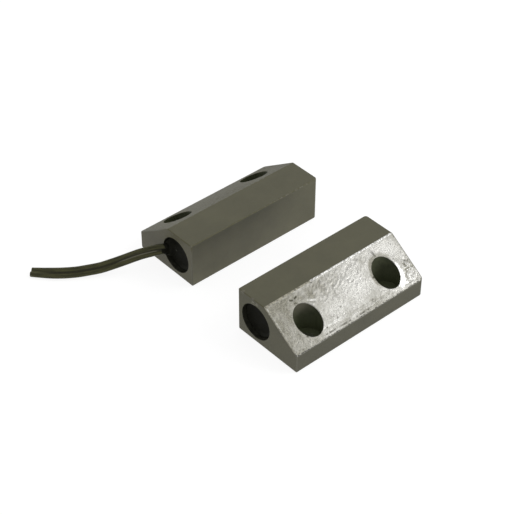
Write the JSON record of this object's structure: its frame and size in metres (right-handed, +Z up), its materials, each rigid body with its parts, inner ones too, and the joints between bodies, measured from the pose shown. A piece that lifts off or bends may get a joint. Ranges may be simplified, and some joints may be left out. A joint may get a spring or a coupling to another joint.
{
  "type": "magnetic door contact",
  "caption": "Surface-mounting magnetic door contact: a potted reed switch with a twin lead and its magnet, each in a cast block with a sloped, counterbored fixing side.",
  "frame": {"origin": "centre of the switch half's flat base", "axes": "+Z up from the base; -X towards the end that the lead leaves; -Y out of the switch half's tall sensing face, towards the magnet half"},
  "size_m": [0.084, 0.0843, 0.0152],
  "materials": {
    "cast_metal": "as cast, dull olive grey, with a bright pebbled slope",
    "potting_resin": "black cast resin",
    "black_moulding": "moulded",
    "silicone": "soft",
    "reed_glass": "clear green tint",
    "reed_metal": "plated",
    "solder": "bright",
    "heat_shrink": "shrunk sleeve",
    "copper": "stranded copper",
    "wire_insulation": "satin",
    "magnet_metal": "ground"
  },
  "bodies": {
    "switch_half": {"switch_housing": "cast_metal", "switch_potting": "potting_resin", "switch_capsule": "black_moulding", "reed_buffer": "silicone", "reed_glass": "reed_glass", "solder_joint_front": "solder", "solder_joint_rear": "solder", "joint_sleeve_front": "heat_shrink", "joint_sleeve_rear": "heat_shrink", "bared_core_front": "copper", "bared_core_rear": "copper", "inner_core_front": "wire_insulation", "inner_core_rear": "wire_insulation", "lead_core_front": "wire_insulation", "lead_core_rear": "wire_insulation"},
    "front_blade": {"reed_blade_front": "reed_metal"},
    "rear_blade": {"reed_blade_rear": "reed_metal"},
    "magnet_half": {"magnet_housing": "cast_metal", "magnet_potting": "potting_resin", "magnet_capsule": "black_moulding", "bar_magnet": "magnet_metal"}
  },
  "joints": [
    {"name": "door_travel", "type": "slide", "parent": "switch_half", "child": "magnet_half", "axis": [0, -1, 0], "range_m": [-0.0197, 0.0273]},
    {"name": "reed_front_flex", "type": "hinge", "parent": "switch_half", "child": "front_blade", "pos_m": [-0.0054, -0.00735, 0.0074], "axis": [0, -1, 0], "range_deg": [0, 1.2], "stiffness_Nm_per_rad": 0.00004},
    {"name": "reed_rear_flex", "type": "hinge", "parent": "switch_half", "child": "rear_blade", "pos_m": [0.0067, -0.00735, 0.0074], "axis": [0, -1, 0], "range_deg": [0, 1.2], "stiffness_Nm_per_rad": 0.00004}
  ],
  "couplings": [
    {"joint": "reed_rear_flex", "follows": "reed_front_flex", "ratio": 1}
  ]
}
